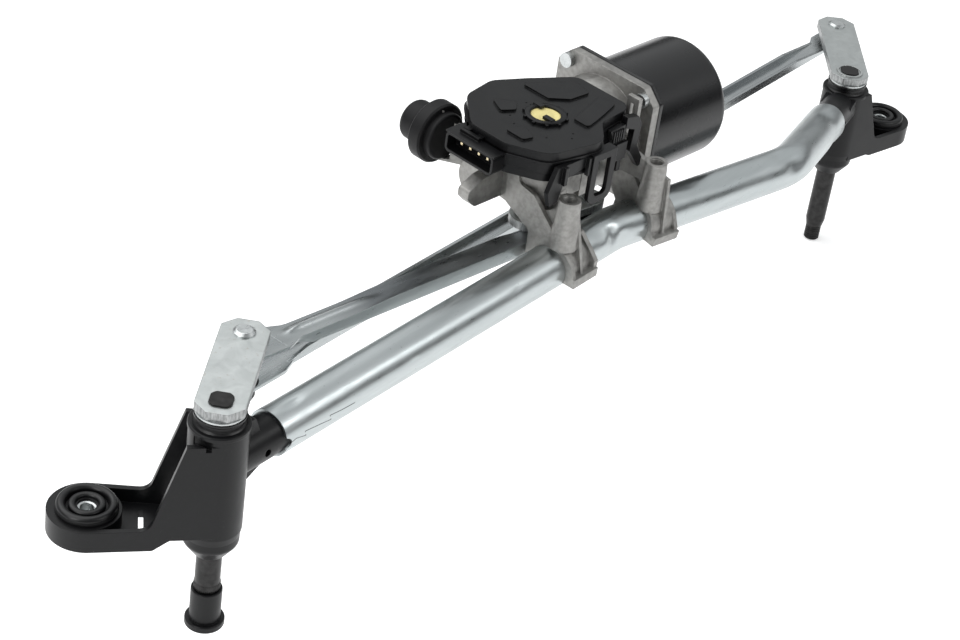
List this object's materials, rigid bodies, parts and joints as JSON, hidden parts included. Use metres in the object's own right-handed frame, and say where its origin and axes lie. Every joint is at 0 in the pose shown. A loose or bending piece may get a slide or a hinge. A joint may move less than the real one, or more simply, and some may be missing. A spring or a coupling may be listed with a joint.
{
  "type": "wiper linkage",
  "caption": "Windscreen wiper linkage: bent tube frame with pivot bearings, reversing gear motor, crank and channel link rods on ball joints.",
  "frame": {"origin": "on the left pivot axis, in the plain stretch of the left shaft below its bearing housing, where the wiper arm's hub comes up to", "axes": "+X from the left pivot axis square across to the right pivot axis, +Z along the pivot shafts away from the wiper arms (the pictured way up, with the shaft tips down), +Y completes the right hand set, towards the link rods"},
  "size_m": [0.7624, 0.145, 0.2196],
  "materials": {
    "zinc_tube": "zinc plated drawn tube, satin",
    "zinc_plate": "zinc plated pressed steel, bright",
    "zinc_channel": "zinc plated folded channel",
    "cast_aluminium": "die cast, satin as cast",
    "bright_steel": "turned, plated",
    "dark_steel": "turned, phosphate dark grey",
    "housing_plastic": "glass filled moulding, satin black",
    "bronze": "sintered bronze, oiled",
    "black_rubber": "moulded, matt",
    "black_plastic": "moulded, fine texture",
    "socket_plastic": "moulded acetal, dark grey",
    "gear_plastic": "moulded acetal, natural",
    "core_steel": "laminated steel with windings",
    "copper": "copper segments",
    "carbon": "pressed carbon",
    "black_can": "satin black paint on drawn steel",
    "ferrite": "ferrite arc magnets",
    "pin_brass": "tinned brass blades",
    "yellow_disc": "yellow moulded disc",
    "board_green": "circuit board laminate"
  },
  "bodies": {
    "frame": {"frame_tube": "zinc_tube", "left_bearing_housing": "housing_plastic", "left_shaft_bushes": "bronze", "left_shaft_seal": "black_rubber", "left_grommet": "black_rubber", "left_grommet_sleeve": "bright_steel", "right_bearing_housing": "housing_plastic", "right_shaft_bushes": "bronze", "right_shaft_seal": "black_rubber", "right_grommet": "black_rubber", "right_grommet_sleeve": "bright_steel", "output_bush": "bronze", "gear_housing": "cast_aluminium", "third_mount_rubber": "black_rubber", "armature_bushes": "bronze", "brush_holder": "black_plastic", "carbon_brushes": "carbon", "motor_gasket": "black_rubber", "motor_can": "black_can", "motor_magnets": "ferrite", "flange_screws": "bright_steel", "gear_cover": "black_plastic", "connector_pins": "pin_brass", "cover_vent_disc": "yellow_disc", "circuit_board": "board_green"},
    "left_rocker": {"left_lever": "zinc_plate", "left_pivot_shaft": "dark_steel", "left_thrust_washer": "bright_steel", "left_retaining_ring": "dark_steel", "shaft_protector_cap": "black_plastic", "left_ball_stud": "bright_steel"},
    "right_rocker": {"right_lever": "zinc_plate", "right_pivot_shaft": "dark_steel", "right_thrust_washer": "bright_steel", "right_retaining_ring": "dark_steel", "right_lever_rivet": "bright_steel"},
    "drive_link": {"drive_link": "zinc_channel", "drive_link_near_socket": "socket_plastic", "drive_link_far_socket": "socket_plastic", "crank_ball_stud": "bright_steel"},
    "transfer_link": {"transfer_link": "zinc_channel", "transfer_link_near_socket": "socket_plastic", "transfer_link_far_socket": "socket_plastic", "right_ball_stud": "bright_steel"},
    "crank": {"crank_arm": "zinc_plate", "crank_rivet": "bright_steel", "output_shaft": "bright_steel", "worm_wheel": "gear_plastic"},
    "armature": {"worm_shaft": "bright_steel", "armature_core": "core_steel", "commutator": "copper"}
  },
  "joints": [
    {"name": "left_pivot_turn", "type": "hinge", "parent": "frame", "child": "left_rocker", "pos_m": [0, 0, 0], "axis": [0, 0, 1], "range_deg": [0, 93.41]},
    {"name": "right_pivot_turn", "type": "hinge", "parent": "frame", "child": "right_rocker", "pos_m": [0.63, 0, 0], "axis": [0, 0, 1], "range_deg": [0, 77.73]},
    {"name": "crank_turn", "type": "hinge", "parent": "frame", "child": "crank", "pos_m": [0.286, 0.021, 0.08], "axis": [0, 0, 1], "range_deg": [0, 180]},
    {"name": "armature_spin", "type": "hinge", "parent": "frame", "child": "armature", "pos_m": [0.28849, 0.04014, 0.103], "axis": [0.9917, -0.1288, 0], "range_deg": [0, 8640.02]},
    {"name": "drive_link_swing", "type": "hinge", "parent": "left_rocker", "child": "drive_link", "pos_m": [0.05057, 0.03039, 0.0908], "axis": [0, 0, 1], "range_deg": [-92.14, 0]},
    {"name": "transfer_link_swing", "type": "hinge", "parent": "left_rocker", "child": "transfer_link", "pos_m": [0.05057, 0.03039, 0.071], "axis": [0, 0, 1], "range_deg": [-93.15, 0]}
  ],
  "couplings": [
    {"joint": "right_pivot_turn", "follows": "left_pivot_turn", "ratio": 0.83213},
    {"joint": "crank_turn", "follows": "left_pivot_turn", "ratio": 1.927},
    {"joint": "armature_spin", "follows": "left_pivot_turn", "ratio": 92.498},
    {"joint": "drive_link_swing", "follows": "left_pivot_turn", "ratio": -0.98645},
    {"joint": "transfer_link_swing", "follows": "left_pivot_turn", "ratio": -0.99724}
  ]
}
